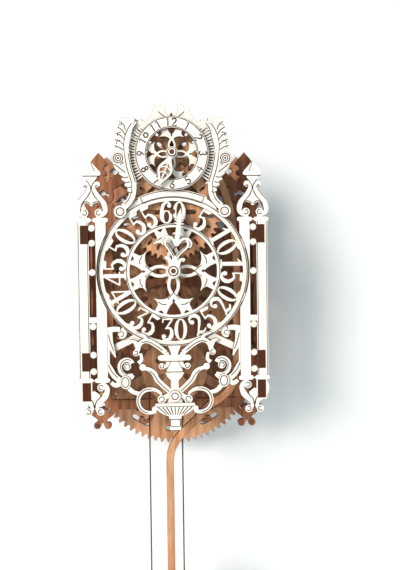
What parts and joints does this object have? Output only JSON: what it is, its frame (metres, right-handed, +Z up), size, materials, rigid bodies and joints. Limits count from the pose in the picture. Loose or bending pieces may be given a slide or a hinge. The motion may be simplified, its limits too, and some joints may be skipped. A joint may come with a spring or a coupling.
{
  "type": "wooden mechanical clock puzzle",
  "caption": "Laser-cut plywood wall clock puzzle: openwork front with a minute dial, an hour dial and pilasters, gear train, curved pendulum and a weight on a cord.",
  "frame": {"origin": "centre of the nail hole, in the back face of the wall plate", "axes": "+Z up, +Y into the wall, +X to the viewer's right when facing the dial"},
  "size_m": [0.1938, 0.159, 0.671],
  "materials": {
    "birch_face": "pale birch plywood, laser cut, bare",
    "birch_ply": "birch plywood sheet with burnt edges",
    "dowel": "laser-darkened plywood and dowel",
    "cord": "dark twisted cord",
    "shot": "loose metal filling"
  },
  "bodies": {
    "frame": {"wall_plate": "birch_ply", "mid_plate": "birch_ply", "dial_plate": "birch_face", "hour_dial": "birch_face", "column_left": "birch_face", "column_right": "birch_face", "scroll_panel": "birch_face", "panel_bosses": "birch_face", "ornament_left": "birch_face", "ornament_right": "birch_face", "facade_pegs": "dowel", "side_front_left": "birch_ply", "side_front_right": "birch_ply", "side_locks": "dowel", "side_rear_left": "birch_ply", "side_rear_right": "birch_ply", "top_deck": "birch_ply", "foot_dowels": "dowel", "cord_post": "dowel", "cord_left": "cord", "cord_right": "cord"},
    "great_train": {"great_arbor": "dowel", "great_wheel": "birch_ply", "drum": "birch_ply", "drum_flange_front": "birch_ply", "drum_flange_rear": "birch_ply", "drum_cord": "cord", "ratchet_wheel": "dowel"},
    "click": {"click": "dowel"},
    "centre_train": {"centre_arbor": "dowel", "centre_pinion": "birch_ply", "centre_wheel": "birch_ply", "motion_pinion": "birch_ply", "minute_hand": "birch_face", "minute_cap": "dowel"},
    "intermediate_train": {"intermediate_arbor": "dowel", "intermediate_wheel": "birch_ply"},
    "hour_train": {"hour_arbor": "dowel", "hour_wheel": "birch_ply", "hour_hand": "birch_face", "hour_cap": "dowel"},
    "third_train": {"third_arbor": "dowel", "third_wheel": "birch_ply"},
    "fourth_train": {"fourth_arbor": "dowel", "fourth_wheel": "birch_ply"},
    "escape_train": {"escape_arbor": "dowel", "escape_wheel": "birch_ply"},
    "pendulum": {"pendulum_arbor": "dowel", "anchor": "birch_ply", "pendulum_rod": "birch_ply", "bob": "dowel", "bob_face": "birch_face", "bob_nut": "dowel"},
    "weight": {"pulley_strap": "dowel", "weight_can": "birch_ply", "weight_fill": "shot", "cord_loop": "cord"},
    "sheave": {"sheave": "birch_ply"}
  },
  "joints": [
    {"name": "weight_drop", "type": "slide", "parent": "frame", "child": "weight", "axis": [0, 0, 1], "range_m": [-0.36, 0], "deforming": ["cord_left", "cord_right"]},
    {"name": "great_turn", "type": "hinge", "parent": "frame", "child": "great_train", "pos_m": [0, -0.05, -0.255], "axis": [0, 1, 0], "range_deg": [-1490, 0]},
    {"name": "click_lift", "type": "hinge", "parent": "great_train", "child": "click", "pos_m": [-0.02685, -0.05, -0.2395], "axis": [0, 1, 0], "range_deg": [-18, 0]},
    {"name": "centre_turn", "type": "hinge", "parent": "frame", "child": "centre_train", "pos_m": [0, -0.05, -0.15], "axis": [0, 1, 0], "range_deg": [0, 14080]},
    {"name": "intermediate_turn", "type": "hinge", "parent": "frame", "child": "intermediate_train", "pos_m": [0, -0.1, -0.09], "axis": [0, 1, 0], "range_deg": [-3520, 0]},
    {"name": "hour_turn", "type": "hinge", "parent": "frame", "child": "hour_train", "pos_m": [0, -0.1, -0.0325], "axis": [0, 1, 0], "range_deg": [0, 1180]},
    {"name": "third_turn", "type": "hinge", "parent": "frame", "child": "third_train", "pos_m": [-0.03762, -0.05, -0.13133], "axis": [0, 1, 0], "range_deg": [-59810, 0]},
    {"name": "fourth_turn", "type": "hinge", "parent": "frame", "child": "fourth_train", "pos_m": [-0.02709, -0.05, -0.08861], "axis": [0, 1, 0], "range_deg": [0, 269130]},
    {"name": "escape_turn", "type": "hinge", "parent": "frame", "child": "escape_train", "pos_m": [0, -0.05, -0.05394], "axis": [0, 1, 0], "range_deg": [-1211070, 0]},
    {"name": "pendulum_swing", "type": "hinge", "parent": "frame", "child": "pendulum", "pos_m": [0, -0.1, -0.02], "axis": [0, 1, 0], "range_deg": [-3, 3]},
    {"name": "sheave_turn", "type": "hinge", "parent": "weight", "child": "sheave", "pos_m": [-0.01005, -0.098, -0.522], "axis": [0, 1, 0], "range_deg": [-1160, 0]}
  ],
  "couplings": [
    {"joint": "great_turn", "follows": "weight_drop", "rad_per_m": 71.813},
    {"joint": "centre_turn", "follows": "weight_drop", "rad_per_m": -682.23},
    {"joint": "intermediate_turn", "follows": "weight_drop", "rad_per_m": 170.56},
    {"joint": "hour_turn", "follows": "weight_drop", "rad_per_m": -56.852},
    {"joint": "third_turn", "follows": "weight_drop", "rad_per_m": 2899.5},
    {"joint": "fourth_turn", "follows": "weight_drop", "rad_per_m": -13048},
    {"joint": "escape_turn", "follows": "weight_drop", "rad_per_m": 58714},
    {"joint": "sheave_turn", "follows": "weight_drop", "rad_per_m": 56.18}
  ]
}
